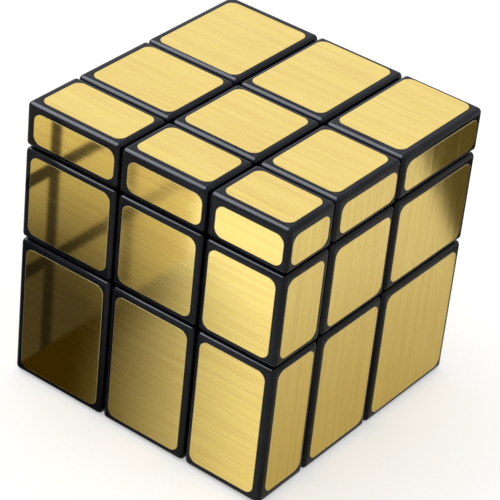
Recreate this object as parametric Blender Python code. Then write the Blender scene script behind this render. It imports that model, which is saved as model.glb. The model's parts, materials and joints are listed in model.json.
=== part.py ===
"""Mirror block cube: a 3 x 3 x 3 twisty puzzle whose 26 outer blocks all differ in size.

Metres, +Z up, with the origin in the middle of the face that the cube rests on. The front is -Y and
the right is +X. The six outer layers differ in thickness, so the core that they all turn about sits
well off the middle of the cube. Every piece is modelled round the core's centre, which puts each
object's origin on all of its turning and sliding axes.
"""

from itertools import product
from math import cos, pi, sin

import bmesh
import bpy
from mathutils import Matrix, Vector

MM = 0.001
WELD = 0.02 * MM  # points closer than this are one point

# The cube and its layers. The middle layer is the same about all three axes.
SIDE = 57.0 * MM
MIDDLE = 19.0 * MM
LEFT_LAYER = 21.0 * MM
FRONT_LAYER = 13.0 * MM
BOTTOM_LAYER = 29.0 * MM

# Clearance between neighbouring pieces, and the rounding of a block's outer edges
GAP = 0.4 * MM
BLOCK_EDGE = 0.9 * MM
BLOCK_EDGE_SEGMENTS = 2

# Each layer's feet turn inside a flat disc that starts this far from the core's centre
FOOT_INNER = 6.2 * MM
FOOT_RADIUS = 15.8 * MM
EDGE_FOOT_HALF_WIDTH = 5.7 * MM
UNDERCUT_START = 5.9 * MM
UNDERCUT_RADIUS = FOOT_RADIUS + GAP
ARC_STEPS = 48

# The core: a ball with six posts, each with a pilot hole
BALL_RADIUS = 5.4 * MM
POST_RADIUS = 3.6 * MM
POST_TOP = 8.0 * MM
PILOT_RADIUS = 1.5 * MM
PILOT_BOTTOM = 2.6 * MM

# A centre hub, measured outwards from the core's centre
HUB_HALF_WIDTH = 5.8 * MM
HUB_EDGE = 0.6 * MM
HUB_BOTTOM = 6.2 * MM
HUB_FLOOR_LOW = 8.3 * MM
HUB_FLOOR_HIGH = 9.8 * MM
HUB_TOP = 15.9 * MM
SOCKET_RADIUS = 3.95 * MM
SHANK_HOLE_RADIUS = 1.6 * MM
BORE_RADIUS = 4.6 * MM

# A centre cap: a block with a collar that enters the hub's bore
CAP_SEAT = 16.2 * MM
COLLAR_BOTTOM = 14.4 * MM
COLLAR_RADIUS = 4.2 * MM
COLLAR_HOLE_RADIUS = 3.3 * MM
COLLAR_ROOT = 0.5 * MM

# The screw, its washer and its spring
SHANK_RADIUS = 1.2 * MM
SHANK_TIP = 3.2 * MM
SHANK_POINT = 0.8 * MM
HEAD_RADIUS = 2.8 * MM
HEAD_LOW = 14.2 * MM
HEAD_RIM = 14.8 * MM
HEAD_TOP = 15.7 * MM
HEAD_CROWN_RADIUS = 1.9 * MM
RECESS_WIDTH = 0.6 * MM
RECESS_LENGTH = 3.2 * MM
RECESS_DEPTH = 0.9 * MM
WASHER_LOW = 13.5 * MM
WASHER_THICKNESS = 0.4 * MM
WASHER_RADIUS = 3.0 * MM
SPRING_LOW = 10.1 * MM
SPRING_HIGH = 13.2 * MM
SPRING_RADIUS = 2.3 * MM
WIRE_RADIUS = 0.23 * MM
CLOSED_PITCH = 0.62 * MM
COILS = 3.5
STEPS_PER_COIL = 10
ROUND_STEPS = 20

# name: (axis, sign, thickness of the layer)
FACES = {
    "left": (0, -1, LEFT_LAYER),
    "right": (0, 1, SIDE - MIDDLE - LEFT_LAYER),
    "front": (1, -1, FRONT_LAYER),
    "back": (1, 1, SIDE - MIDDLE - FRONT_LAYER),
    "bottom": (2, -1, BOTTOM_LAYER),
    "top": (2, 1, SIDE - MIDDLE - BOTTOM_LAYER),
}
FACE_AT = {(axis, sign): name for name, (axis, sign, _) in FACES.items()}
CORE = Vector((
    LEFT_LAYER + MIDDLE / 2 - SIDE / 2,
    FRONT_LAYER + MIDDLE / 2 - SIDE / 2,
    BOTTOM_LAYER + MIDDLE / 2,
))
OUT = Vector((0, 0, 1))


def reach(face):
    """How far a face's outer surface is from the core's centre."""
    return MIDDLE / 2 + FACES[face][2]


def direction(face):
    """The unit vector that points out of a face."""
    axis, sign, _ = FACES[face]
    return Vector([sign if i == axis else 0 for i in range(3)])


def clear_scene():
    for obj in list(bpy.data.objects):
        bpy.data.objects.remove(obj, do_unlink=True)


def new_material(name, color, roughness, metallic=0.0):
    material = bpy.data.materials.new(name)
    material.use_nodes = True
    shader = material.node_tree.nodes["Principled BSDF"]
    shader.inputs["Base Color"].default_value = (*color, 1.0)
    shader.inputs["Roughness"].default_value = roughness
    shader.inputs["Metallic"].default_value = metallic
    return material


def as_mesh(bm, name):
    """A mesh data block from a bmesh, with close points merged and its faces pointing out."""
    bmesh.ops.remove_doubles(bm, verts=bm.verts, dist=WELD)
    bmesh.ops.recalc_face_normals(bm, faces=bm.faces)
    mesh = bpy.data.meshes.new(name)
    bm.to_mesh(mesh)
    bm.free()
    return mesh


def box(low, high, edge=0.0, segments=1):
    """A box between two opposite corners, with its edges rounded."""
    low, high = Vector(low), Vector(high)
    bm = bmesh.new()
    place = Matrix.LocRotScale((low + high) / 2, None, high - low)
    bmesh.ops.create_cube(bm, size=1.0, matrix=place)
    if edge:
        bmesh.ops.bevel(
            bm, geom=bm.edges[:], offset=edge, segments=segments, profile=0.5, affect="EDGES"
        )
    return as_mesh(bm, "box")


def turned(profile, steps, ring=False):
    """A solid turned about Z from (radius, height) points. A ring's profile closes on itself."""
    bm = bmesh.new()
    points = [bm.verts.new((radius, 0, height)) for radius, height in profile]
    ends = points[1:] + points[:1] if ring else points[1:]
    edges = [bm.edges.new(pair) for pair in zip(points, ends)]
    bmesh.ops.spin(
        bm, geom=points + edges, axis=OUT, cent=(0, 0, 0), angle=2 * pi, steps=steps,
        use_merge=True,
    )
    return as_mesh(bm, "turned")


def rod(radius, low, high, steps=ROUND_STEPS):
    """A plain cylinder along Z."""
    return turned([(0, low), (radius, low), (radius, high), (0, high)], steps)


def pointed(mesh, face):
    """A copy of a mesh made along +Z, turned to point out of a face."""
    copy = mesh.copy()
    copy.transform(OUT.rotation_difference(direction(face)).to_matrix().to_4x4())
    return copy


def combined(base, steps):
    """The mesh that base becomes when each (operation, tool mesh) has acted on it in turn."""
    link = bpy.context.scene.collection.objects.link
    body = bpy.data.objects.new("body", base)
    link(body)
    helpers = [body]
    for operation, mesh in steps:
        tool = bpy.data.objects.new("tool", mesh)
        link(tool)
        helpers.append(tool)
        modifier = body.modifiers.new(operation, "BOOLEAN")
        modifier.operation = operation
        modifier.solver = "EXACT"
        modifier.object = tool
    graph = bpy.context.evaluated_depsgraph_get()
    bm = bmesh.new()
    bm.from_object(body, graph)
    for helper in helpers:
        bpy.data.objects.remove(helper)
    return as_mesh(bm, "combined")


def span(axis, side):
    """Where a block starts and ends along an axis, for side -1, 0 or 1."""
    inner = MIDDLE / 2 - GAP / 2
    if side == 0:
        return -inner, inner
    near, far = MIDDLE / 2 + GAP / 2, reach(FACE_AT[axis, side])
    return tuple(sorted((side * near, side * far)))


def foot_span(side):
    """Where a foot starts and ends along an axis, before it is rounded to the discs."""
    if side == 0:
        return -EDGE_FOOT_HALF_WIDTH, EDGE_FOOT_HALF_WIDTH
    return tuple(sorted((side * FOOT_INNER, side * FOOT_RADIUS)))


def foot(cell):
    """The foot of an edge or corner block, which never leaves the discs of its own layers.

    The facets of the discs are out of step by a third, so that no two of their edges cross.
    """
    spans = [foot_span(side) for side in cell]
    blank = box(*zip(*spans))
    rounds = []
    for axis, side in enumerate(cell):
        if side:
            disc = rod(FOOT_RADIUS, -SIDE, SIDE, ARC_STEPS)
            disc.transform(Matrix.Rotation(axis / 3 * 2 * pi / ARC_STEPS, 4, OUT))
            rounds.append(("INTERSECT", pointed(disc, FACE_AT[axis, side])))
    return combined(blank, rounds)


def outer_block(cell):
    """An edge or corner block with its foot. An edge block is undercut for its neighbours' feet."""
    spans = [span(axis, side) for axis, side in enumerate(cell)]
    block = box(*zip(*spans), BLOCK_EDGE, BLOCK_EDGE_SEGMENTS)
    undercut = rod(UNDERCUT_RADIUS, UNDERCUT_START, MIDDLE, ARC_STEPS)
    sides = [FACE_AT[axis, sign] for axis, side in enumerate(cell) if not side for sign in (-1, 1)]
    cuts = [("DIFFERENCE", pointed(undercut, face)) for face in sides]
    return combined(block, cuts + [("UNION", foot(cell))])


def cap(face):
    """A centre cap along +Z, with the collar that locates it in the hub."""
    half = MIDDLE / 2 - GAP / 2
    block = box(
        (-half, -half, CAP_SEAT), (half, half, reach(face)), BLOCK_EDGE, BLOCK_EDGE_SEGMENTS
    )
    top = CAP_SEAT + COLLAR_ROOT
    collar = turned(
        [
            (COLLAR_HOLE_RADIUS, COLLAR_BOTTOM), (COLLAR_RADIUS, COLLAR_BOTTOM),
            (COLLAR_RADIUS, top), (COLLAR_HOLE_RADIUS, top),
        ],
        ROUND_STEPS, ring=True,
    )
    return combined(block, [("UNION", collar)])


def hub():
    """A centre hub along +Z: a post socket below, a floor with a hole, and a bore above."""
    bm = bmesh.new()
    size = Vector((2 * HUB_HALF_WIDTH, 2 * HUB_HALF_WIDTH, HUB_TOP - HUB_BOTTOM))
    middle = Vector((0, 0, (HUB_BOTTOM + HUB_TOP) / 2))
    bmesh.ops.create_cube(bm, size=1.0, matrix=Matrix.LocRotScale(middle, None, size))
    upright = [e for e in bm.edges if abs(e.verts[0].co.z - e.verts[1].co.z) > HUB_EDGE]
    bmesh.ops.bevel(
        bm, geom=upright, offset=HUB_EDGE, segments=2, profile=0.5, affect="EDGES"
    )
    block = as_mesh(bm, "hub")
    bore = turned(
        [
            (0, 0), (SOCKET_RADIUS, 0), (SOCKET_RADIUS, HUB_FLOOR_LOW),
            (SHANK_HOLE_RADIUS, HUB_FLOOR_LOW), (SHANK_HOLE_RADIUS, HUB_FLOOR_HIGH),
            (BORE_RADIUS, HUB_FLOOR_HIGH), (BORE_RADIUS, MIDDLE), (0, MIDDLE),
        ],
        ROUND_STEPS,
    )
    return combined(block, [("DIFFERENCE", bore)])


def screw():
    """A pan head screw along +Z, its head outwards, with a cross recess."""
    shape = turned(
        [
            (0, SHANK_TIP), (SHANK_RADIUS, SHANK_TIP + SHANK_POINT), (SHANK_RADIUS, HEAD_LOW),
            (HEAD_RADIUS, HEAD_LOW), (HEAD_RADIUS, HEAD_RIM), (HEAD_CROWN_RADIUS, HEAD_TOP),
            (0, HEAD_TOP),
        ],
        ROUND_STEPS,
    )
    long, short = RECESS_LENGTH / 2, RECESS_WIDTH / 2
    floor = HEAD_TOP - RECESS_DEPTH
    along_x = box((-long, -short, floor), (long, short, MIDDLE))
    along_y = box((-short, -long, floor), (short, long, MIDDLE))
    return combined(shape, [("DIFFERENCE", along_x), ("DIFFERENCE", along_y)])


def washer():
    """A flat washer on the Z axis."""
    high = WASHER_LOW + WASHER_THICKNESS
    return turned(
        [
            (SHANK_HOLE_RADIUS, WASHER_LOW), (WASHER_RADIUS, WASHER_LOW),
            (WASHER_RADIUS, high), (SHANK_HOLE_RADIUS, high),
        ],
        ROUND_STEPS, ring=True,
    )


def coil_height(coils):
    """The height of the spring's wire after so many coils: half a closed coil at each end."""
    low, high = SPRING_LOW + WIRE_RADIUS, SPRING_HIGH - WIRE_RADIUS
    open_pitch = (high - low - CLOSED_PITCH) / (COILS - 1)
    climbed = min(coils, 0.5) * CLOSED_PITCH
    climbed += min(max(coils - 0.5, 0), COILS - 1) * open_pitch
    climbed += max(coils - COILS + 0.5, 0) * CLOSED_PITCH
    return low + climbed


def spring():
    """A compression spring along +Z, as a round wire that follows a helix."""
    curve = bpy.data.curves.new("spring", "CURVE")
    curve.dimensions = "3D"
    curve.bevel_depth = WIRE_RADIUS
    curve.bevel_resolution = 1
    curve.use_fill_caps = True
    wire = curve.splines.new("POLY")
    steps = int(COILS * STEPS_PER_COIL)
    wire.points.add(steps)
    for step, point in enumerate(wire.points):
        coils = step / STEPS_PER_COIL
        angle = 2 * pi * coils
        x, y = SPRING_RADIUS * cos(angle), SPRING_RADIUS * sin(angle)
        point.co = (x, y, coil_height(coils), 1)
    return curve


def core_spider():
    """The core: a ball, a post towards each face, and a pilot hole in each post."""
    bm = bmesh.new()
    bmesh.ops.create_uvsphere(bm, u_segments=16, v_segments=8, radius=BALL_RADIUS)
    ball = as_mesh(bm, "ball")
    post = rod(POST_RADIUS, -POST_TOP, POST_TOP)
    pilot = rod(PILOT_RADIUS, PILOT_BOTTOM, MIDDLE)
    posts = [("UNION", pointed(post, face)) for face in ("right", "back", "top")]
    pilots = [("DIFFERENCE", pointed(pilot, face)) for face in FACES]
    return combined(ball, posts + pilots)


def add_body(name, parent=None):
    """An empty at the core's centre, for the pieces that move together."""
    empty = bpy.data.objects.new(name, None)
    empty.empty_display_size = MIDDLE
    empty.parent = parent
    empty.location = (0, 0, 0) if parent else CORE
    bpy.context.scene.collection.objects.link(empty)
    return empty


def add_piece(name, data, material, body, face="top"):
    """A named piece on a body's empty. Data made along +Z is turned to point out of its face."""
    piece = bpy.data.objects.new(name, data)
    if not data.materials:
        data.materials.append(material)
    piece.parent = body
    piece.rotation_mode = "QUATERNION"
    piece.rotation_quaternion = OUT.rotation_difference(direction(face))
    bpy.context.scene.collection.objects.link(piece)
    return piece


def block_name(cell):
    """Such as corner_top_front_left or edge_front_left."""
    kind = "corner" if all(cell) else "edge"
    sides = [FACE_AT[axis, cell[axis]] for axis in (2, 1, 0) if cell[axis]]
    return "_".join([kind, *sides])


def add_blocks(bodies, material):
    """The 12 edge blocks and 8 corner blocks, each on its layer's body."""
    for cell in product((-1, 0, 1), repeat=3):
        if sum(map(abs, cell)) < 2:
            continue
        body = bodies[{1: "top_layer", 0: "root", -1: "bottom_layer"}[cell[2]]]
        piece = add_piece(block_name(cell), outer_block(cell), material, body)
        piece.data.name = piece.name


def add_centres(bodies, black, grey, steel, spring_steel):
    """On each face a hub with its cap, and the screw, washer and spring that hold it."""
    hub_mesh, screw_mesh, washer_mesh, spring_curve = hub(), screw(), washer(), spring()
    root = bodies["root"]
    for face in FACES:
        stays = face in ("top", "bottom")
        moving = bodies[face + ("_layer" if stays else "_centre")]
        add_piece(face + "_hub", hub_mesh, grey, moving, face)
        add_piece(face + "_cap", cap(face), black, moving, face)
        add_piece(face + "_screw", screw_mesh, steel, root, face)
        add_piece(face + "_washer", washer_mesh, steel, root, face)
        add_piece(face + "_spring", spring_curve, spring_steel,
                  bodies[face + "_float"] if stays else root, face)


def build():
    clear_scene()
    black = new_material("gloss_black", (0.008, 0.009, 0.011), 0.16)
    grey = new_material("hub_plastic", (0.035, 0.037, 0.042), 0.38)
    white = new_material("core_plastic", (0.72, 0.72, 0.69), 0.42)
    steel = new_material("zinc_steel", (0.62, 0.62, 0.60), 0.3, 1.0)
    spring_steel = new_material("spring_steel", (0.45, 0.45, 0.46), 0.26, 1.0)

    bodies = {"root": add_body("root")}
    for face in ("top", "bottom"):
        bodies[face + "_float"] = add_body(face + "_float", bodies["root"])
        bodies[face + "_layer"] = add_body(face + "_layer", bodies[face + "_float"])
    for face in ("front", "back", "left", "right"):
        bodies[face + "_centre"] = add_body(face + "_centre", bodies["root"])

    add_piece("core_spider", core_spider(), white, bodies["root"])
    add_centres(bodies, black, grey, steel, spring_steel)
    add_blocks(bodies, black)
    bpy.context.view_layer.update()


build()
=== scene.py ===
# %% [markdown]
# # A mirror block cube
#
# The cube is a 3 x 3 x 3 twisty puzzle. Its 26 outer blocks are glossy black mouldings that all
# differ in size, and each outer face of a block carries a thin plate of brushed gold foil. Inside,
# six hubs slide on the posts of a core, and a screw with a spring holds each of them.
#
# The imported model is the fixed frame. This script keeps every piece where that frame has it, and
# gives each one its fine shape and its finish. It goes from the frame to the camera and the
# finishes, then to the pieces, from the outside of the cube inwards, and then to the studio.

# %% Load the frame
import json
from itertools import product
from math import cos, pi, radians, sin
from random import Random

import bmesh
import bpy
from mathutils import Matrix, Vector

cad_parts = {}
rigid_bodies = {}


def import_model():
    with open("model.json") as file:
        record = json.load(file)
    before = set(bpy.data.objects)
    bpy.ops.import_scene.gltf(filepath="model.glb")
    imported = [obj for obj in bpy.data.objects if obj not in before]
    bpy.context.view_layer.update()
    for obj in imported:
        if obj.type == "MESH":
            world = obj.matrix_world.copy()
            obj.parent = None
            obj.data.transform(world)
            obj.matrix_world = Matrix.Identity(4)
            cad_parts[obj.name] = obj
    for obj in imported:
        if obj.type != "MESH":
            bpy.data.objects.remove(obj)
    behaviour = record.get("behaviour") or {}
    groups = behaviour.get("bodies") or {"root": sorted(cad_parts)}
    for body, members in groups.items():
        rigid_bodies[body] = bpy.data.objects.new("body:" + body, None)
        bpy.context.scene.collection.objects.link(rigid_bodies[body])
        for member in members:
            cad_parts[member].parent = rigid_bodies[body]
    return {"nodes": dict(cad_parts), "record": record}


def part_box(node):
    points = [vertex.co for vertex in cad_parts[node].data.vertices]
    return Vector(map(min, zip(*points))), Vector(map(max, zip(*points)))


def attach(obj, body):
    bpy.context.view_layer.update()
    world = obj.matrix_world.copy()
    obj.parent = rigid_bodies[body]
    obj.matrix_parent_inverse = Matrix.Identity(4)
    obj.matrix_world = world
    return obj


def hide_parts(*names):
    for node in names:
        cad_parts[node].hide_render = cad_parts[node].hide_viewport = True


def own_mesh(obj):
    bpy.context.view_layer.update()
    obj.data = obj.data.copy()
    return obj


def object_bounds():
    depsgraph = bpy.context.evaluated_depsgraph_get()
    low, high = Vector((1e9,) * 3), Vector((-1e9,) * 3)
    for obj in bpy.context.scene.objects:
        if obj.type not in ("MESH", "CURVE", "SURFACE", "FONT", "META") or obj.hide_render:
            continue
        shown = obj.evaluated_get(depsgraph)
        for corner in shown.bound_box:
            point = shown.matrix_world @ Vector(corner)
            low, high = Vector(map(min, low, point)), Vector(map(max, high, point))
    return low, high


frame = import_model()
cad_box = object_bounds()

print("nodes", len(frame["nodes"]), "box", cad_box)

# %% [markdown]
# ## Sizes
#
# The frame already knows where everything is. The core's box gives the point that all layers turn
# about, the box of the whole cube gives its outer faces, and the top cap's width gives the middle
# layer. Only what the plain model leaves out, such as the foil, gets a size of its own here. What
# every face has is made once, pointing along OUT, and is then turned towards its face.

# %% Read the sizes from the frame
MM = 0.001
core_low, core_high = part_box("core_spider")
CORE = (core_low + core_high) / 2
LOW, HIGH = Vector(cad_box[0]), Vector(cad_box[1])
MIDDLE = (LOW + HIGH) / 2
cap_low, cap_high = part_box("top_cap")
BLOCK_HALF = (cap_high.x - cap_low.x) / 2
GAP = 0.4 * MM
MIDDLE_HALF = BLOCK_HALF + GAP / 2
OUT = Vector((0, 0, 1))

FACES = {
    "left": (0, -1), "right": (0, 1), "front": (1, -1),
    "back": (1, 1), "bottom": (2, -1), "top": (2, 1),
}
FACE_AT = {place: name for name, place in FACES.items()}
BODY_OF = {
    node: body for body, nodes in frame["record"]["behaviour"]["bodies"].items() for node in nodes
}


def direction(face):
    """The unit vector that points out of a face."""
    axis, sign = FACES[face]
    return Vector([sign if i == axis else 0 for i in range(3)])


def reach(face):
    """How far a face's outer surface is from the core's centre."""
    axis, sign = FACES[face]
    return (HIGH[axis] - CORE[axis]) if sign > 0 else (CORE[axis] - LOW[axis])


print("core", CORE / MM, "reach", {face: round(reach(face) / MM, 2) for face in FACES})

# %% [markdown]
# ## Camera
#
# A long lens from in front, above and to the right shows the top and two sides at once. The camera
# is held a few degrees out of level, so the cube seems to lean to the left. A few plain numbers say
# it all: where the camera aims, how far away it stands, and how it is turned.

# %% Camera
AIM = MIDDLE + Vector((1.5, 0.0, -1.4)) * MM
DISTANCE = 436 * MM
AZIMUTH = radians(34.4)
ELEVATION = radians(33.4)
ROLL = radians(6.2)
LENS = 173.6


def aimed(azimuth, elevation, roll):
    """The rotation of a camera that looks from this azimuth and elevation."""
    turn = Matrix.Rotation(azimuth, 3, "Z") @ Matrix.Rotation(pi / 2 - elevation, 3, "X")
    return turn @ Matrix.Rotation(roll, 3, "Z")


lens_data = bpy.data.cameras.new("camera")
lens_data.lens = LENS
camera = bpy.data.objects.new("camera", lens_data)
bpy.context.scene.collection.objects.link(camera)
view = aimed(AZIMUTH, ELEVATION, ROLL)
camera.matrix_world = Matrix.Translation(AIM + view @ OUT * DISTANCE) @ view.to_4x4()
bpy.context.scene.camera = camera
print("camera", camera.matrix_world.translation / MM)

# %% [markdown]
# ## Shader maths
#
# A finish is a small calculation that runs at each point of a surface. Wiring it up by hand takes
# many lines, so one small class stands for a socket. Adding or multiplying two of them adds the
# Math node that does it, and any other node comes from the one method called node.


# %% A socket that can be used in sums
class Wire:
    """An output socket of a material, to be used in expressions as if it were a number."""

    def __init__(self, tree, socket=None):
        self.tree = tree
        self.socket = socket

    def node(self, kind, settings, inputs, output=0):
        """The output of a new node. Its settings are set first, and then its sockets."""
        node = self.tree.nodes.new("ShaderNode" + kind)
        for name, setting in settings.items():
            setattr(node, name, setting)
        for name, value in inputs.items():
            if isinstance(value, Wire):
                self.tree.links.new(value.socket, node.inputs[name])
            else:
                node.inputs[name].default_value = value
        return Wire(self.tree, node.outputs[output])

    def math(self, operation, *numbers):
        return self.node("Math", {"operation": operation}, dict(enumerate(numbers)))

    def __add__(self, other):
        return self.math("ADD", self, other)

    __radd__ = __add__

    def __sub__(self, other):
        return self.math("SUBTRACT", self, other)

    def __rsub__(self, other):
        return self.math("SUBTRACT", other, self)

    def __mul__(self, other):
        return self.math("MULTIPLY", self, other)

    __rmul__ = __mul__

    def root(self):
        return self.math("SQRT", self)

    def size(self):
        """The number without its sign."""
        return self.math("ABSOLUTE", self)

    def at_least(self, other):
        """The larger of this number and another."""
        return self.math("MAXIMUM", self, other)

    def place(self):
        """Object coordinates, which are metres in the cube's own frame."""
        return self.node("TexCoord", {}, {}, output="Object")

    def axes(self):
        """The x, y and z of a vector."""
        node = self.node("SeparateXYZ", {}, {"Vector": self}).socket.node
        return [Wire(self.tree, socket) for socket in node.outputs]

    def between(self, low, high):
        """0 below low, 1 above high, and a smooth rise from one to the other."""
        settings = {"interpolation_type": "SMOOTHSTEP", "clamp": True}
        inputs = {"Value": self, "From Min": low, "From Max": high, "To Min": 0.0, "To Max": 1.0}
        return self.node("MapRange", settings, inputs)

    def mixed(self, first, second):
        """The first colour where this wire is 0, and the second where it is 1."""
        inputs = {"Factor": self, 6: first, 7: second}
        return self.node("Mix", {"data_type": "RGBA"}, inputs, output=2)

    def bumped(self, strength, depth, under=None):
        """The normal of a surface that this wire raises by up to a depth in metres."""
        inputs = {"Height": self, "Strength": strength, "Distance": depth}
        if under is not None:
            inputs["Normal"] = under
        return self.node("Bump", {}, inputs)


# %% [markdown]
# ## How a finish is made
#
# Each finish is one Principled BSDF. Its sockets get a plain number where the surface is the same
# all over, and a wire where it varies. Nearly all that varies comes from noise, stretched one way
# for a brush or a scratch, and with its contrast raised where only a few marks are wanted.


# %% New finishes and noise
def new_finish(name):
    """A new material: itself, its shader, and a wire to start expressions from."""
    material = bpy.data.materials.new(name)
    material.use_nodes = True
    shader = material.node_tree.nodes["Principled BSDF"]
    return material, shader, Wire(material.node_tree)


def fit(shader, **sockets):
    """Puts a number, a colour or a wire on each named socket of a shader."""
    for name, value in sockets.items():
        socket = shader.inputs[name.replace("_", " ")]
        if isinstance(value, Wire):
            value.tree.links.new(value.socket, socket)
        else:
            socket.default_value = value


def noise(place, size, stretch=(1, 1, 1), detail=2.0, seed=0.0):
    """Soft noise whose grains are about this size, longer along the axes with a small stretch."""
    scaled = place.node(
        "Mapping", {}, {"Vector": place, "Location": (seed, seed, seed), "Scale": stretch}
    )
    return place.node(
        "TexNoise", {}, {"Vector": scaled, "Scale": 1 / size, "Detail": detail}
    )


def report(material):
    """Prints how much wiring a finish took."""
    print(material.name, "has", len(material.node_tree.nodes), "shader nodes")


# %% [markdown]
# ## Brushed gold foil
#
# The foil is a metallised film with a hairline brush all along one direction. The brush is what
# the eye reads: fine lines that are a little paler or redder than the gold, and that smear every
# reflection across themselves. Each plate has its own UV map in millimetres, with u along the
# brush and v across it, so noise that is long in u and short in v draws the lines. The cut edge
# of a plate is a duller line, for which the mesh has an attribute of its own.

# %% Brushed gold foil
GOLD = (0.805, 0.615, 0.178, 1.0)
PALE_GOLD = (0.92, 0.74, 0.27, 1.0)
RED_GOLD = (0.75, 0.545, 0.165, 1.0)
CUT_EDGE = (0.50, 0.42, 0.20, 1.0)
HAIR_STRETCH = (0.05, 7.0, 1.0)
BAND_STRETCH = (0.025, 1.4, 1.0)
SCRATCH_STRETCH = (0.12, 9.0, 1.0)
WAVE_LENGTH = 16.0
WAVE_DEPTH = 0.03 * MM
BAND_DEPTH = 0.008 * MM
HAIR_DEPTH = 0.003 * MM


def gold_foil():
    """Metallised film: hairs and bands along the brush, few scratches, and a worn cut edge."""
    material, shader, start = new_finish("gold_foil")
    grain = start.node("UVMap", {"uv_map": "grain"}, {})
    rim = start.node("Attribute", {"attribute_name": "rim"}, {}, output="Fac")
    hairs = noise(grain, 1.0, HAIR_STRETCH, detail=3.0)
    bands = noise(grain, 1.0, BAND_STRETCH, seed=7.3)
    waves = noise(grain, WAVE_LENGTH, detail=1.0, seed=3.1)
    marks = noise(grain, 1.0, SCRATCH_STRETCH, detail=0.0, seed=21.7)
    scratches = marks.between(0.71, 0.77)
    color = bands.between(0.38, 0.66).mixed(GOLD, RED_GOLD)
    color = (hairs.between(0.45, 0.68) * 0.6).mixed(color, PALE_GOLD)
    color = (scratches * 0.8).mixed(color, PALE_GOLD)
    color = rim.mixed(color, CUT_EDGE)
    combed = bands.bumped(0.5, BAND_DEPTH, under=waves.bumped(0.5, WAVE_DEPTH))
    fit(
        shader,
        Base_Color=color,
        Metallic=1.0 - rim * 0.4,
        Roughness=0.05 + hairs * 0.10 + scratches * 0.08 + rim * 0.2,
        Normal=hairs.bumped(0.5, HAIR_DEPTH, under=combed),
    )
    return material


GOLD_FOIL = gold_foil()
report(GOLD_FOIL)

# %% [markdown]
# ## Glossy black plastic
#
# The blocks are moulded in black ABS and come out of a polished mould, so they are shiny with a
# very slight orange peel. Handling leaves fine scratches in all directions, which dull the
# reflections a little. Dust gathers in soft patches, which are a shade less black.

# %% Glossy black plastic
BLACK = (0.0015, 0.0018, 0.003, 1.0)
DUSTY_BLACK = (0.004, 0.0045, 0.0065, 1.0)
PEEL_SIZE = 1.6 * MM
PEEL_DEPTH = 0.01 * MM
DUST_SIZE = 6.0 * MM
SCRATCH_SIZE = 0.5 * MM


def gloss_black():
    """Polished black ABS with orange peel, patches of dust, and scratches in two directions."""
    material, shader, start = new_finish("gloss_black")
    place = start.place()
    peel = noise(place, PEEL_SIZE, detail=1.0)
    dust = noise(place, DUST_SIZE, detail=4.0, seed=5.0)
    along = noise(place, SCRATCH_SIZE, (0.05, 1.0, 1.0), seed=1.0)
    across = noise(place, SCRATCH_SIZE, (1.0, 0.05, 1.0), seed=2.0)
    scratches = along.between(0.66, 0.74) + across.between(0.67, 0.75)
    fit(
        shader,
        Base_Color=dust.between(0.45, 0.75).mixed(BLACK, DUSTY_BLACK),
        Roughness=0.13 + dust * 0.12 + scratches * 0.08,
        Specular_IOR_Level=0.13,
        Normal=(peel + scratches * 0.15).bumped(0.15, PEEL_DEPTH),
    )
    return material


GLOSS_BLACK = gloss_black()
report(GLOSS_BLACK)

# %% [markdown]
# ## Plastics of the inside
#
# The hubs are moulded in a grey-black plastic that was never polished, with a fine spark-eroded
# grain. The core is unpigmented ABS, an ivory white with soft flow marks, because nobody sees it.
# Both share one recipe, and only the colours and the gloss differ.

# %% Plastics of the inside
HUB_GREY = (0.030, 0.032, 0.036, 1.0)
RUBBED_GREY = (0.045, 0.047, 0.052, 1.0)
CORE_IVORY = (0.72, 0.71, 0.65, 1.0)
PALE_IVORY = (0.78, 0.77, 0.72, 1.0)
SPARK_SIZE = 0.25 * MM
SPARK_DEPTH = 0.02 * MM
FLOW_SIZE = 5.0 * MM
RUB_SIZE = 0.6 * MM


def inner_plastic(name, plain, marked, roughness):
    """A plain moulding plastic, with its grain, its flow marks and the rubs of use."""
    material, shader, start = new_finish(name)
    place = start.place()
    grain = noise(place, SPARK_SIZE, detail=3.0)
    flow = noise(place, FLOW_SIZE, (1.0, 1.0, 0.4), seed=4.0)
    rubs = noise(place, RUB_SIZE, (0.15, 1.0, 1.0), detail=1.0, seed=9.0).between(0.68, 0.78)
    fit(
        shader,
        Base_Color=(flow.between(0.4, 0.7) + rubs * 0.4).mixed(plain, marked),
        Roughness=roughness + flow * 0.1 - rubs * 0.1,
        Specular_IOR_Level=0.45,
        Normal=grain.bumped(0.3, SPARK_DEPTH),
    )
    return material


HUB_PLASTIC = inner_plastic("hub_plastic", HUB_GREY, RUBBED_GREY, roughness=0.32)
CORE_PLASTIC = inner_plastic("core_plastic", CORE_IVORY, PALE_IVORY, roughness=0.35)
report(HUB_PLASTIC)
report(CORE_PLASTIC)

# %% [markdown]
# ## Screw and spring steel
#
# The screws and washers are zinc plated in a barrel. The plating is bright with cloudy patches and
# a faint yellow and blue tint, and tumbling leaves tiny dents. The spring is drawn wire, which is
# darker, with an oil film here and there, and still carries the die's fine lines.

# %% Screw and spring steel
ZINC = (0.62, 0.62, 0.60, 1.0)
YELLOW_ZINC = (0.66, 0.62, 0.50, 1.0)
BLUE_ZINC = (0.52, 0.57, 0.63, 1.0)
WIRE_STEEL = (0.42, 0.42, 0.43, 1.0)
OILED_STEEL = (0.24, 0.23, 0.22, 1.0)
CLOUD_SIZE = 1.8 * MM
TINT_SIZE = 2.5 * MM
DENT_SIZE = 0.18 * MM
DENT_DEPTH = 0.01 * MM
DRAWN_SIZE = 0.08 * MM
DRAWN_DEPTH = 0.004 * MM
OIL_SIZE = 1.2 * MM


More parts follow.
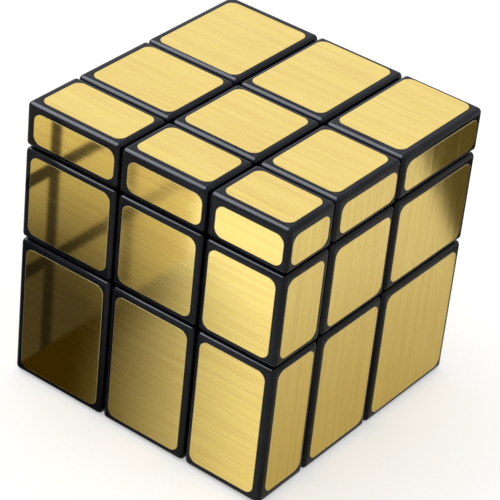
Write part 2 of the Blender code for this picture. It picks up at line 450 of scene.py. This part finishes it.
def zinc_steel():
    """Barrel zinc plating: cloudy, faintly tinted and slightly dented."""
    material, shader, start = new_finish("zinc_steel")
    place = start.place()
    clouds = noise(place, CLOUD_SIZE, detail=3.0)
    tint = noise(place, TINT_SIZE, detail=1.0, seed=6.0)
    dents = noise(place, DENT_SIZE, detail=1.0, seed=11.0).between(0.62, 0.72)
    color = tint.between(0.50, 0.65).mixed(ZINC, YELLOW_ZINC)
    color = (clouds.between(0.55, 0.75) * 0.5).mixed(color, BLUE_ZINC)
    fit(
        shader,
        Base_Color=color,
        Metallic=1.0,
        Roughness=0.22 + clouds * 0.16 + dents * 0.12,
        Normal=(clouds * 0.4 - dents * 0.6).bumped(0.35, DENT_DEPTH),
    )
    return material


def spring_steel():
    """Drawn wire with the die's lines and a film of oil."""
    material, shader, start = new_finish("spring_steel")
    place = start.place()
    drawn = noise(place, DRAWN_SIZE, (0.2, 0.2, 1.0))
    oil = noise(place, OIL_SIZE, seed=3.0)
    fit(
        shader,
        Base_Color=oil.between(0.45, 0.72).mixed(WIRE_STEEL, OILED_STEEL),
        Metallic=1.0,
        Roughness=0.20 + drawn * 0.16,
        Normal=drawn.bumped(0.3, DRAWN_DEPTH),
    )
    return material


ZINC_STEEL = zinc_steel()
SPRING_STEEL = spring_steel()
report(ZINC_STEEL)
report(SPRING_STEEL)

# %% [markdown]
# ## Mesh helpers
#
# Every shape starts as a cube, a ball or a short outline in a bmesh, and operators do the rest.
# Shapes that have to grow into each other, such as a block and its foot, are joined by Blender's
# exact Boolean, because no bmesh operator joins two solids.

# %% Boxes and edges
WELD = 0.004 * MM


def as_mesh(bm, name="shape"):
    """The mesh of a bmesh, with close points merged and its faces pointing out."""
    bmesh.ops.remove_doubles(bm, verts=bm.verts, dist=WELD)
    bmesh.ops.recalc_face_normals(bm, faces=bm.faces)
    mesh = bpy.data.meshes.new(name)
    bm.to_mesh(mesh)
    bm.free()
    return mesh


def rounded(bm, edges, radius, segments):
    """Rounds these edges of a bmesh."""
    bmesh.ops.bevel(
        bm, geom=edges, offset=radius, segments=segments, profile=0.5, affect="EDGES",
        material=-1,
    )


def cuboid(low, high):
    """A bmesh of the box between two corners."""
    low, high = Vector(low), Vector(high)
    bm = bmesh.new()
    bmesh.ops.create_cube(bm, size=1, matrix=Matrix.LocRotScale((low + high) / 2, None, high - low))
    return bm


def edges_along(bm, way):
    """The edges of a cuboid that run along a unit vector."""
    ends = [[vert.co for vert in edge.verts] for edge in bm.edges]
    return [edge for edge, (a, b) in zip(bm.edges, ends) if abs((a - b).normalized() @ way) > 0.5]


# %% Turned shapes
LATHE_STEPS = 96


def lathe(profile, ring=False):
    """The mesh turned about Z from (radius, height) points. A ring's profile closes on itself."""
    bm = bmesh.new()
    points = [bm.verts.new((radius, 0, height)) for radius, height in profile]
    ends = points[1:] + points[:1] if ring else points[1:]
    edges = [bm.edges.new(pair) for pair in zip(points, ends)]
    bmesh.ops.spin(
        bm, geom=points + edges, axis=OUT, cent=(0, 0, 0), angle=2 * pi, steps=LATHE_STEPS,
        use_merge=True,
    )
    return as_mesh(bm)


def in_mm(profile):
    """A profile that is written in millimetres, in metres."""
    return [(radius * MM, height * MM) for radius, height in profile]


def pointed(mesh, face):
    """Turns a mesh made along +Z so that it points out of a face."""
    mesh.transform(OUT.rotation_difference(direction(face)).to_matrix().to_4x4())
    return mesh


# %% Joined and cut shapes
def combined(base, steps):
    """The mesh that base becomes when each (operation, mesh) has acted on it in turn."""
    link = bpy.context.scene.collection.objects.link
    body = bpy.data.objects.new("body", base)
    link(body)
    helpers = [body]
    for operation, mesh in steps:
        tool = bpy.data.objects.new("tool", mesh)
        link(tool)
        helpers.append(tool)
        modifier = body.modifiers.new(operation, "BOOLEAN")
        modifier.operation = operation
        modifier.solver = "EXACT"
        modifier.object = tool
    bm = bmesh.new()
    bm.from_object(body, bpy.context.evaluated_depsgraph_get())
    for helper in helpers:
        bpy.data.objects.remove(helper)
    return as_mesh(bm)


# %% [markdown]
# ## Pieces in their place
#
# Shapes are made round the core's centre, because every layer turns about it. One function moves a
# finished mesh to its place, gives it its finish and tells the frame which body it rides on. The
# place goes into the mesh, so that patterns on Object coordinates stay where they are.

# %% Show a piece
SHARP = radians(32)


def show(mesh, name, body, finish, node=None):
    """Puts a mesh made round the core's centre in its place, as a piece with a finish."""
    mesh.transform(Matrix.Translation(CORE))
    mesh.shade_smooth()
    mesh.set_sharp_from_angle(angle=SHARP)
    mesh.materials.clear()
    mesh.materials.append(finish)
    mesh.name = name
    piece = bpy.data.objects.new(name, mesh)
    bpy.context.scene.collection.objects.link(piece)
    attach(piece, body)
    if node:
        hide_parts(node)
    return piece


def show_block(mesh, node):
    """Shows a black block or cap in the place of its plain node."""
    piece = show(mesh, node + "_shell", BODY_OF[node], GLOSS_BLACK, node)
    print(piece.name, len(piece.data.polygons), "faces")


def on_each_face(mesh, part, finish):
    """Shows one piece made along +Z on each of the six faces, and gives them back by node."""
    pieces = {}
    for face in FACES:
        node = f"{face}_{part}"
        shape = pointed(mesh.copy(), face)
        pieces[node] = show(shape, node + "_body", BODY_OF[node], finish, node)
    print(part, len(mesh.polygons), "faces each")
    return pieces


# %% [markdown]
# ## Blocks and their feet
#
# A block is a box with generously rounded edges. Below it an edge or corner block has a foot, which
# stays inside the flat round disc that each of its layers sweeps when it turns. The foot is made
# by shaving a box with planes that touch those discs, because it is convex. An edge block is also
# hollowed where the feet of its neighbours pass.

# %% Blocks
BLOCK_EDGE = 0.9 * MM
BLOCK_SEGMENTS = 6
SUPPORT = 0.12 * MM


def span(axis, side):
    """Where a block starts and ends along an axis, for side -1, 0 or 1."""
    if side == 0:
        return -BLOCK_HALF, BLOCK_HALF
    return tuple(sorted((side * (MIDDLE_HALF + GAP / 2), side * reach(FACE_AT[axis, side]))))


def rounded_box(low, high):
    """A box with rounded edges, and a narrow band round each flat that keeps its shading flat."""
    bm = cuboid(low, high)
    rounded(bm, bm.edges[:], BLOCK_EDGE, BLOCK_SEGMENTS)
    flats = sorted(bm.faces, key=lambda face: -face.calc_area())[:6]
    bmesh.ops.inset_individual(bm, faces=flats, thickness=SUPPORT)
    return as_mesh(bm)


# %% Feet
FOOT_INNER = 6.2 * MM
FOOT_RADIUS = 15.8 * MM
FOOT_HALF_WIDTH = 5.7 * MM
SHAVES = 96
ON_PLANE = 1e-8


def foot_span(side):
    """Where a foot starts and ends along an axis, before it is shaved."""
    if side == 0:
        return -FOOT_HALF_WIDTH, FOOT_HALF_WIDTH
    return tuple(sorted((side * FOOT_INNER, side * FOOT_RADIUS)))


def shaved_foot(cell):
    """The foot of an edge or corner block: a box shaved to the discs of its own layers.

    The planes of each axis start at another angle, so that no two axes shave the same line.
    """
    bm = cuboid(*zip(*[foot_span(side) for side in cell]))
    for axis, side in enumerate(cell):
        if not side:
            continue
        across, along = [Vector([float(i == other) for i in range(3)])
                         for other in range(3) if other != axis]
        for step in range(SHAVES):
            angle = 2 * pi * (step + 0.5 + axis / 3) / SHAVES
            normal = across * cos(angle) + along * sin(angle)
            cut = bmesh.ops.bisect_plane(
                bm, geom=bm.verts[:] + bm.edges[:] + bm.faces[:], dist=ON_PLANE,
                plane_co=normal * FOOT_RADIUS, plane_no=normal, clear_outer=True,
            )
            rim = [part for part in cut["geom_cut"] if isinstance(part, bmesh.types.BMEdge)]
            if rim:
                bmesh.ops.contextual_create(bm, geom=rim)
    return as_mesh(bm)


# %% Edge and corner blocks
UNDERCUT_RADIUS = FOOT_RADIUS + GAP
UNDERCUT_START = 5.9 * MM
UNDERCUT_END = 3 * MIDDLE_HALF
UNDERCUT = [
    (0, UNDERCUT_START), (UNDERCUT_RADIUS, UNDERCUT_START), (UNDERCUT_RADIUS, UNDERCUT_END),
    (0, UNDERCUT_END),
]


def outer_block(cell):
    """An edge or corner block round the core's centre."""
    block = rounded_box(*zip(*[span(axis, side) for axis, side in enumerate(cell)]))
    steps = []
    for axis, side in enumerate(cell):
        for sign in (-1, 1) if not side else ():
            steps.append(("DIFFERENCE", pointed(lathe(UNDERCUT), FACE_AT[axis, sign])))
    return combined(block, steps + [("UNION", shaved_foot(cell))])


def block_name(cell):
    """Such as corner_top_front_left, edge_front_left or top_cap."""
    sides = [FACE_AT[axis, cell[axis]] for axis in (2, 1, 0) if cell[axis]]
    if len(sides) == 1:
        return sides[0] + "_cap"
    return "_".join(["corner" if len(sides) == 3 else "edge", *sides])


CELLS = [cell for cell in product((-1, 0, 1), repeat=3) if any(cell)]
for cell in CELLS:
    if sum(map(abs, cell)) > 1:
        show_block(outer_block(cell), block_name(cell))

# %% [markdown]
# ## Centre caps
#
# The six centre blocks are thinner caps, each with a round collar below that presses into its hub.
# No foot passes through them, so a box and a collar turned on the lathe are enough. The collar is
# a ring, and its lower end is eased, because that end goes into the hub first.

# %% Centre caps
CAP_SEAT = 16.2 * MM
COLLAR = [(3.3, 14.4), (3.45, 14.25), (4.05, 14.25), (4.2, 14.4), (4.2, 16.7), (3.3, 16.7)]


def cap(face):
    """A centre cap along +Z, with the collar that presses into the hub."""
    block = rounded_box((-BLOCK_HALF, -BLOCK_HALF, CAP_SEAT), (BLOCK_HALF, BLOCK_HALF, reach(face)))
    collar = lathe(in_mm(COLLAR), ring=True)
    return pointed(combined(block, [("UNION", collar)]), face)


for face in FACES:
    show_block(cap(face), face + "_cap")

# %% [markdown]
# ## Gold foil plates
#
# Each of the 54 outer faces has its own die-cut plate with rounded corners. They are stuck on by
# hand or by a simple jig, so none sits quite in the middle of its face, and a few are half a
# millimetre off. LEANS says which, and how far along x, y and z. The brush runs sideways on the
# top, the bottom, the front and the back, and upright on the other two sides.

# %% Sizes of the foils
FOIL_INSET = 1.47 * MM
FOIL_THICKNESS = 0.12 * MM
FOIL_GLUE = 0.01 * MM
FOIL_CORNER = 1.65 * MM
FOIL_CORNER_SEGMENTS = 8
FOIL_LIP = 0.025 * MM
FOIL_LIP_SEGMENTS = 2
FOIL_RIM = 0.05 * MM
FOIL_STRAY = 0.10 * MM
ROLL_SIZE = 400
LEANS = {
    "foil_front_on_corner_top_front_left": (0.5, 0, 0),
    "foil_front_on_edge_top_front": (0.5, 0, 0),
    "foil_front_on_corner_top_front_right": (0.5, 0, 0),
    "foil_right_on_corner_top_front_right": (0, -0.4, 0),
    "foil_right_on_edge_front_right": (0, -0.4, 0),
    "foil_right_on_corner_bottom_front_right": (0, 0, 0.4),
    "foil_right_on_edge_bottom_right": (0, 0, 0.2),
    "foil_front_on_edge_front_left": (0.15, 0, 0.2),
    "foil_top_on_corner_top_front_left": (0.3, 0, 0),
    "foil_top_on_edge_top_front": (0.25, 0, 0),
    "foil_top_on_corner_top_front_right": (0.25, 0, 0),
    "foil_top_on_edge_top_left": (0.25, 0, 0),
    "foil_top_on_corner_top_back_left": (0.25, -0.5, 0),
    "foil_top_on_corner_top_back_right": (0, 0.3, 0),
}
chance = Random(54)
print(len(LEANS), "plates sit clearly off")


# %% One foil
def cell_side(axis, side, sign):
    """The plane that bounds a cell along an axis, without the gap to its neighbour."""
    if side == 0:
        return sign * MIDDLE_HALF
    return side * reach(FACE_AT[axis, side]) if sign == side else side * MIDDLE_HALF


def foil_box(cell, face, lean):
    """The lowest and highest corners of a plate on a block's face, moved by its lean."""
    out_axis, out_sign = FACES[face]
    low, high = Vector(), Vector()
    for axis in range(3):
        if axis == out_axis:
            near = out_sign * (reach(face) + FOIL_GLUE)
            low[axis], high[axis] = sorted((near, near + out_sign * FOIL_THICKNESS))
        else:
            stray = chance.uniform(-1, 1) * FOIL_STRAY + lean[axis] * MM
            low[axis] = cell_side(axis, cell[axis], -1) + FOIL_INSET + stray
            high[axis] = cell_side(axis, cell[axis], 1) - FOIL_INSET + stray
    return low, high


def mark_grain(bm, face):
    """Lays the brush over a plate: u along it and v across, cut from anywhere on the roll."""
    grain = bm.loops.layers.uv.new("grain")
    along = Vector((0, 0, 1)) if FACES[face][0] == 0 else Vector((1, 0, 0))
    across = direction(face).cross(along)
    start = Vector((chance.uniform(0, ROLL_SIZE), chance.uniform(0, ROLL_SIZE)))
    for flat in bm.faces:
        for corner in flat.loops:
            place = corner.vert.co / MM
            corner[grain].uv = start + Vector((place @ along, place @ across))


def foil(cell, face, lean):
    """A foil plate: rounded corners, a rolled lip, and a rim that its finish can find."""
    bm = cuboid(*foil_box(cell, face, lean))
    out = direction(face)
    rounded(bm, edges_along(bm, out), FOIL_CORNER, FOIL_CORNER_SEGMENTS)
    top = max(bm.faces, key=lambda f: f.calc_center_median() @ out)
    rounded(bm, top.edges[:], FOIL_LIP, FOIL_LIP_SEGMENTS)
    top = max(bm.faces, key=lambda f: (round(f.calc_center_median() @ out, 6), f.calc_area()))
    rim = bm.verts.layers.float.new("rim")
    for vert in bm.verts:
        vert[rim] = 1.0
    bmesh.ops.inset_individual(bm, faces=[top], thickness=FOIL_RIM)
    for vert in top.verts:
        vert[rim] = 0.0
    mark_grain(bm, face)
    return as_mesh(bm)


# %% All foils
foils = []
for cell in CELLS:
    block = block_name(cell)
    for face in [FACE_AT[axis, side] for axis, side in enumerate(cell) if side]:
        name = f"foil_{face}_on_{block}"
        plate = foil(cell, face, LEANS.get(name, (0, 0, 0)))
        foils.append(show(plate, name, BODY_OF[block], GOLD_FOIL))
print(len(foils), "foils, the last one with", len(foils[-1].data.polygons), "faces")

# %% [markdown]
# ## Core
#
# The core is a ball with six posts and a pilot hole in each, moulded in one piece. Each pair of
# opposite posts is one turned bar that runs through the ball. The ball is a UV sphere, because the
# posts hide its poles.

# %% Core
BALL_RADIUS = 5.4 * MM
BALL_SEGMENTS = 64
POSTS = [(0, -8.0), (3.4, -8.0), (3.6, -7.8), (3.6, 7.8), (3.4, 8.0), (0, 8.0)]
PILOT = [(0, 2.6), (1.5, 2.6), (1.5, 7.8), (1.7, 8.0), (1.7, 9.0), (0, 9.0)]


def core():
    """The ball with its posts and pilot holes."""
    bm = bmesh.new()
    bmesh.ops.create_uvsphere(
        bm, u_segments=BALL_SEGMENTS, v_segments=BALL_SEGMENTS // 2, radius=BALL_RADIUS
    )
    bars = [("UNION", pointed(lathe(in_mm(POSTS)), face)) for face in ("right", "back", "top")]
    pilots = [("DIFFERENCE", pointed(lathe(in_mm(PILOT)), face)) for face in FACES]
    return combined(as_mesh(bm), bars + pilots)


piece = show(core(), "core_body", BODY_OF["core_spider"], CORE_PLASTIC,
             "core_spider")
print(piece.name, len(piece.data.polygons), "faces")

# %% [markdown]
# ## Hubs
#
# A hub is a square sleeve. Its socket slides on a post, its floor carries the spring, and its bore
# takes the cap's collar. All three are one turned hollow, so one outline cuts them at once. Mouths
# and rims have a small lead-in, as mouldings do.

# %% Hubs
HUB_LOW, HUB_HIGH = Vector((-5.8, -5.8, 6.2)) * MM, Vector((5.8, 5.8, 15.9)) * MM
HUB_EDGE = 0.6 * MM
HUB_EDGE_SEGMENTS = 6
HUB_RIM = 0.15 * MM
HUB_RIM_SEGMENTS = 2
HUB_HOLLOW = [
    (0, 5.0), (4.1, 5.0), (4.1, 6.2), (3.95, 6.35), (3.95, 8.3), (1.6, 8.3), (1.6, 9.8),
    (4.6, 9.8), (4.6, 15.75), (4.75, 15.9), (4.75, 17.0), (0, 17.0),
]


def hub():
    """A hub along +Z."""
    bm = cuboid(HUB_LOW, HUB_HIGH)
    rounded(bm, edges_along(bm, OUT), HUB_EDGE, HUB_EDGE_SEGMENTS)
    ends = sorted(bm.faces, key=lambda face: -abs(face.normal.z))[:2]
    rounded(bm, [edge for face in ends for edge in face.edges], HUB_RIM, HUB_RIM_SEGMENTS)
    return combined(as_mesh(bm), [("DIFFERENCE", lathe(in_mm(HUB_HOLLOW)))])


on_each_face(hub(), "hub", HUB_PLASTIC)

# %% [markdown]
# ## Springs
#
# A spring and a screw thread are both an outline carried round the axis while it climbs. Blender's
# spin does this when each of its steps also moves a little along the axis. The spring's first and
# last half coil climb less, so that it stands square. When a centre is pulled out, the real spring
# is pressed shorter, the end at the washer staying still and the end in the hub following the hub.
# Here each spring that a joint presses only gets a mesh of its own and keeps its full length.

# %% Springs
WINDING_STEPS = 48
WIRE_SIDES = 16
WIRE_RADIUS = 0.23
SPRING_RADIUS = 2.3
SPRING_LOW, SPRING_HIGH = 10.1, 13.2
COILS = 3.5
CLOSED_RISE = 0.31


def wound(outline, laps):
    """A closed solid: an outline of (radius, height) in millimetres, wound up lap by lap."""
    bm = bmesh.new()
    points = [bm.verts.new((radius, 0, height)) for radius, height in in_mm(outline)]
    edges = [bm.edges.new(pair) for pair in zip(points, points[1:] + points[:1])]
    bmesh.ops.contextual_create(bm, geom=edges)
    end = points + edges
    for turns, rise in laps:
        count = round(turns * WINDING_STEPS)
        lap = bmesh.ops.spin(
            bm, geom=end, cent=(0, 0, 0), axis=OUT, angle=2 * pi * turns, steps=count,
            dvec=OUT * rise * MM / count,
        )
        end = lap["geom_last"]
    bmesh.ops.contextual_create(bm, geom=[e for e in end if isinstance(e, bmesh.types.BMEdge)])
    return as_mesh(bm)


def spring():
    """A spring along +Z, with half a closed coil at each end."""
    angles = [2 * pi * step / WIRE_SIDES for step in range(WIRE_SIDES)]
    start = SPRING_LOW + WIRE_RADIUS
    wire = [(SPRING_RADIUS + WIRE_RADIUS * cos(a), start + WIRE_RADIUS * sin(a)) for a in angles]
    open_rise = SPRING_HIGH - SPRING_LOW - 2 * WIRE_RADIUS - 2 * CLOSED_RISE
    return wound(wire, [(0.5, CLOSED_RISE), (COILS - 1, open_rise), (0.5, CLOSED_RISE)])


def press(piece, node):
    """Gives a pressed spring its own mesh, but doesn't shorten it.
    It works out the end that would stay still: the inner end for one on the moving hub.
    """
    out = direction(node.removesuffix("_spring"))
    still = SPRING_HIGH if BODY_OF[node] == "root" else SPRING_LOW
    CORE + out * still * MM
    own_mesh(piece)


springs = on_each_face(spring(), "spring", SPRING_STEEL)
for joint in frame["record"]["behaviour"]["joints"]:
    for entry in joint.get("deforming_nodes", ()):
        press(springs[entry["node"]], entry["node"])
        print(entry["node"], "is pressed by", joint["name"])

# %% [markdown]
# ## Screws and washers
#
# The screw is a pan head with a cross recess, and the washer under it spreads the spring's force.
# Both are turned, with the small radii that cold heading and stamping leave. The thread is a wound
# outline joined to the shank, so it has a real start and end.

# %% Screws and washers
SCREW = [
    (0, 3.2), (0.5, 3.5), (1.05, 4.2), (1.05, 9.2), (1.2, 9.4), (1.2, 14.05), (1.35, 14.2),
    (2.68, 14.2), (2.8, 14.32), (2.8, 14.75), (2.72, 15.05), (2.5, 15.32), (2.15, 15.53),
    (1.6, 15.66), (0.8, 15.7), (0, 15.7),
]
THREAD = [(0.9, 4.2), (1.42, 4.46), (1.42, 4.54), (0.9, 4.8)]
THREAD_TURNS, THREAD_PITCH = 5, 0.9
RECESS_LONG, RECESS_SHORT = 1.6 * MM, 0.3 * MM
RECESS_FLOOR, RECESS_TOP = 14.8 * MM, 17 * MM
WASHER = [
    (1.66, 13.5), (2.94, 13.5), (3.0, 13.56), (3.0, 13.84), (2.94, 13.9), (1.66, 13.9),
    (1.6, 13.84), (1.6, 13.56),
]


def screw():
    """A screw along +Z, its head outwards."""
    thread = wound(THREAD, [(THREAD_TURNS, THREAD_TURNS * THREAD_PITCH)])
    cross = [
        ("DIFFERENCE", as_mesh(cuboid((-x, -y, RECESS_FLOOR), (x, y, RECESS_TOP))))
        for x, y in ((RECESS_LONG, RECESS_SHORT), (RECESS_SHORT, RECESS_LONG))
    ]
    return combined(lathe(in_mm(SCREW)), [("UNION", thread)] + cross)


on_each_face(screw(), "screw", ZINC_STEEL)
on_each_face(lathe(in_mm(WASHER), ring=True), "washer", ZINC_STEEL)

# %% [markdown]
# ## Studio floor
#
# Brushed gold only looks like metal when it has something to reflect. The room is white, and so is
# the floor, which is a light table: it glows a little, so the cube's shadow stays faint. It is a
# large flat sheet a little below the cube, so that the bottom foils don't touch it.

# %% Floor
FLOOR_SIZE = 6.0
FLOOR_HEIGHT = LOW.z - 0.2 * MM
FLOOR_GREY = (0.62, 0.62, 0.62, 1.0)
FLOOR_PALE = (0.65, 0.65, 0.65, 1.0)
FLOOR_GLOW = 0.34
TOOTH_SIZE = 0.8 * MM
TOOTH_DEPTH = 0.05 * MM
WHITE = (1.0, 1.0, 1.0, 1.0)


def floor_paint():
    """A matt white sheet with a fine tooth, lit from below."""
    material, shader, start = new_finish("light_table")
    tooth = noise(start.place(), TOOTH_SIZE, detail=3.0)
    fit(
        shader,
        Base_Color=tooth.mixed(FLOOR_GREY, FLOOR_PALE),
        Roughness=0.8,
        Emission_Color=WHITE,
        Emission_Strength=FLOOR_GLOW,
        Normal=tooth.bumped(0.1, TOOTH_DEPTH),
    )
    return material


def sheet(width, depth):
    """A bmesh of one flat rectangle round the origin."""
    bm = bmesh.new()
    size = Matrix.Diagonal((width / 2, depth / 2, 1, 1))
    bmesh.ops.create_grid(bm, x_segments=1, y_segments=1, size=1, matrix=size)
    return bm


def on_stage(bm, name, finish, place):
    """Puts a bmesh in the studio. It isn't part of the cube."""
    prop = bpy.data.objects.new(name, as_mesh(bm, name))
    prop.data.transform(place)
    prop.data.materials.append(finish)
    bpy.context.scene.collection.objects.link(prop)
    return prop


floor = on_stage(sheet(FLOOR_SIZE, FLOOR_SIZE), "floor", floor_paint(),
                 Matrix.Translation((0, 0, FLOOR_HEIGHT)))
print(floor.name, "at", round(FLOOR_HEIGHT / MM, 2), "mm")

# %% [markdown]
# ## Lights
#
# The white room lights everything evenly. A strong softbox stands high on the left and draws the
# thin bright line along each rounded black edge. On the foils it would burn out, so light linking
# keeps it to the blocks. A smaller one in the same place gives the rest a little shape.

# %% Lights
ROOM = 1.1
LIGHT_FROM = (-0.50, -0.20, 0.84)
LIGHT_DISTANCE = 0.8
EDGE_LIGHT_SIZE, EDGE_LIGHT = 0.75, 18.0
FLOOR_LIGHT_SIZE, FLOOR_LIGHT = 0.30, 4.0
COOL_WHITE = (0.86, 0.92, 1.0)

world = bpy.data.worlds.new("white_room")
world.use_nodes = True
background = world.node_tree.nodes["Background"]
background.inputs["Color"].default_value = WHITE
background.inputs["Strength"].default_value = ROOM
bpy.context.scene.world = world
bpy.context.scene.view_settings.view_transform = "Standard"


def softbox(name, size, brightness, color=WHITE[:3]):
    """A square soft light high on the left that faces the cube and looks this bright."""
    data = bpy.data.lights.new(name, "AREA")
    data.size = size
    data.energy = brightness * pi * size ** 2
    data.color = color
    light = bpy.data.objects.new(name, data)
    turn = Vector(LIGHT_FROM).to_track_quat("Z", "Y").to_matrix()
    light.matrix_world = Matrix.Translation(AIM + turn @ OUT * LIGHT_DISTANCE) @ turn.to_4x4()
    bpy.context.scene.collection.objects.link(light)
    return light


edge_light = softbox("edge_light", EDGE_LIGHT_SIZE, EDGE_LIGHT, COOL_WHITE)
black_pieces = bpy.data.collections.new("black_pieces")
edge_light.light_linking.receiver_collection = black_pieces
for name, piece in bpy.data.objects.items():
    if name.endswith("_shell"):
        black_pieces.objects.link(piece)
softbox("floor_light", FLOOR_LIGHT_SIZE, FLOOR_LIGHT)

# %% [markdown]
# ## What the foils see
#
# A mirror shows its surroundings, so a plain white room would leave the foils flat. Cards stand in
# for what was there: one upright card for a second cube, and four patches on the floor. Only
# reflections see them, so they cast no shadow and never show themselves.


# %% Cards that only reflections see
def unseen(card):
    """Leaves a card out of everything but reflections."""
    card.visible_camera = False
    card.visible_diffuse = False
    card.visible_shadow = False
    card.visible_transmission = False
    print(card.name, "is only seen in reflections")


def new_card(name):
    """A material that glows as it is told to: itself, its output node and a wire to start from."""
    material = bpy.data.materials.new(name)
    material.use_nodes = True
    tree = material.node_tree
    tree.nodes.remove(tree.nodes["Principled BSDF"])
    return material, tree.nodes["Material Output"], Wire(tree)


# %% [markdown]
# ## The second cube
#
# A cube of the same kind stood close in front on the left, out of sight. The front foils show its
# side as dark bars, which are the seams between its blocks, on an olive tone that darkens towards
# the nook between the two cubes, where shade falls. A glowing card in its place paints that side,
# with the shade painted into its colours. Far ahead the brush blurs the bars, so they fade there.

# %% Neighbour card
# NEIGHBOUR and NEIGHBOUR_SEAM are the lit side; NEIGHBOUR_DIM and SEAM_DIM are its painted shade.
NEIGHBOUR = (0.88, 0.80, 0.60, 1.0)
NEIGHBOUR_DIM = (0.075, 0.066, 0.050, 1.0)
NEIGHBOUR_SEAM = (0.09, 0.08, 0.075, 1.0)
SEAM_DIM = (0.022, 0.020, 0.016, 1.0)
NEIGHBOUR_LENGTH = 52 * MM
NEIGHBOUR_GAP = 0.3 * MM
NEIGHBOUR_MIDDLE = (LOW.x - NEIGHBOUR_GAP, LOW.y - NEIGHBOUR_LENGTH / 2, MIDDLE.z)
UPRIGHT = Matrix.Rotation(pi / 2, 4, "Y")
DIM_TO_BRIGHT = (20 * MM, 61 * MM)
SEAM_HALF = 1.5 * MM
SEAM_FADE = (12 * MM, 50 * MM)
SEAMS_AHEAD = (9 * MM, 31.3 * MM)
SEAMS_UP = (20 * MM, 39.6 * MM)


def neighbour_paint():
    """The second cube's foils and seams, with painted shade that dims them downwards, near the
    nook.
    """
    material, output, start = new_card("neighbour_side")
    _, y, up = start.place().axes()
    ahead = LOW.y - y
    # The next line paints the shade: darkest at the corner by the nook, and fully lit further off.
    painted_lightness = (ahead * ahead + ahead * up + up * up).root().between(*DIM_TO_BRIGHT)
    color = painted_lightness.mixed(NEIGHBOUR_DIM, NEIGHBOUR)
    seam_color = painted_lightness.mixed(SEAM_DIM, NEIGHBOUR_SEAM)
    fade = ahead.between(*SEAM_FADE) * 0.6
    for distance, seams in ((ahead, SEAMS_AHEAD), (up, SEAMS_UP)):
        for seam in seams:
            clear = (distance - seam).size().between(SEAM_HALF * 0.7, SEAM_HALF * 1.3)
            color = clear.at_least(fade).mixed(seam_color, color)
    glow = start.node("Emission", {}, {"Color": color, "Strength": 1.0})
    glow.tree.links.new(glow.socket, output.inputs["Surface"])
    return material


unseen(on_stage(
    sheet(HIGH.z - LOW.z, NEIGHBOUR_LENGTH), "neighbour_card", neighbour_paint(),
    Matrix.Translation(NEIGHBOUR_MIDDLE) @ UPRIGHT,
))

# %% [markdown]
# ## Patches on the floor
#
# The floor isn't equally bright all round the cube. Four patches say where: the dark nook between
# the two cubes, the cube's own soft shade on the right, the well lit floor in front, and the dark
# end of the room behind on the right. Each is a card with a colour and a mask, which is a sum on
# the card's x and y that is 1 where the colour is full and 0 where the card is clear. Two heights
# keep cards that overlap apart.

# %% Floor patches
JUST_ABOVE, HIGHER = FLOOR_HEIGHT + 0.05 * MM, FLOOR_HEIGHT + 0.1 * MM


def patch_paint(name, color, mask):
    """Glows with this colour where the mask is 1, and is clear where it is 0."""
    material, output, start = new_card(name)
    x, y, _ = start.place().axes()
    clear = start.node("BsdfTransparent", {}, {})
    glow = start.node("Emission", {}, {"Color": color, "Strength": 1.0})
    both = start.node("MixShader", {}, {0: mask(x, y), 1: clear, 2: glow})
    both.tree.links.new(both.socket, output.inputs["Surface"])
    return material


def floor_card(name, paint, size, middle):
    """Lays a card of this width and length on the floor, round this middle."""
    unseen(on_stage(sheet(*size), name, paint, Matrix.Translation(middle)))


# %% The nook between the cubes
NOOK = (0.045, 0.03, 0.0, 1.0)
NOOK_SLANT = 0.68
NOOK_FADE = (11 * MM, 58 * MM)
NOOK_EDGE = 12 * MM
NOOK_END = (38 * MM, 62 * MM)
NOOK_WIDTH, NOOK_LENGTH, NOOK_START = 60 * MM, 64 * MM, 3 * MM
NOOK_MIDDLE = (LOW.x - NOOK_START + NOOK_WIDTH / 2, LOW.y - NOOK_LENGTH / 2, HIGHER)


def nook_mask(x, y):
    """Darkest in the corner between the two cubes, and lighter to the right and ahead."""
    across, ahead = x - LOW.x, LOW.y - y
    clear = (across + ahead * NOOK_SLANT).between(*NOOK_FADE)
    clear = clear * (across.between(0.0, NOOK_EDGE) * 0.4 + 0.6)
    return (1.0 - clear) * (1.0 - ahead.between(*NOOK_END))


floor_card(
    "gap_card", patch_paint("gap_shade", NOOK, nook_mask), (NOOK_WIDTH, NOOK_LENGTH), NOOK_MIDDLE
)

# %% The shade on the right
SHADE = (0.33, 0.24, 0.0, 1.0)
SHADE_NEAR, SHADE_FADED = 0.56, 0.26
SHADE_FADE = 45 * MM
SHADE_SIZE = (90 * MM, 170 * MM)
SHADE_MIDDLE = (HIGH.x + 46 * MM, LOW.y + 80 * MM, JUST_ABOVE)


def shade_mask(x, y):
    """The cube's own soft shade on the right, which fades with the distance."""
    return SHADE_NEAR - (x - HIGH.x).between(0.0, SHADE_FADE) * SHADE_FADED


floor_card(
    "right_card", patch_paint("right_shade", SHADE, shade_mask), SHADE_SIZE, SHADE_MIDDLE
)

# %% The well lit floor in front
FRONT_GLOW = (1.32, 1.35, 1.42, 1.0)
FRONT_START = (38 * MM, 60 * MM)
FRONT_SIZE = (110 * MM, 70 * MM)
FRONT_MIDDLE = (MIDDLE.x, LOW.y - 70 * MM, JUST_ABOVE)


def front_mask(x, y):
    """The floor that the light reaches well, a little way in front."""
    return (LOW.y - y).between(*FRONT_START)


floor_card(
    "front_card", patch_paint("front_glow", FRONT_GLOW, front_mask), FRONT_SIZE, FRONT_MIDDLE
)

# %% The dark end of the room
FAR_SHADE = (0.10, 0.085, 0.04, 1.0)
FAR_START = (12.5 * MM, 18.5 * MM)
FAR_SIZE = 84 * MM
FAR_MIDDLE = (HIGH.x + 8 * MM + FAR_SIZE / 2, HIGH.y + 22 * MM + FAR_SIZE / 2, HIGHER)


def far_mask(x, y):
    """Beyond a slanting line behind the cube on the right."""
    return (y - x).between(*FAR_START)


floor_card(
    "far_card", patch_paint("far_shade", FAR_SHADE, far_mask), (FAR_SIZE, FAR_SIZE), FAR_MIDDLE
)
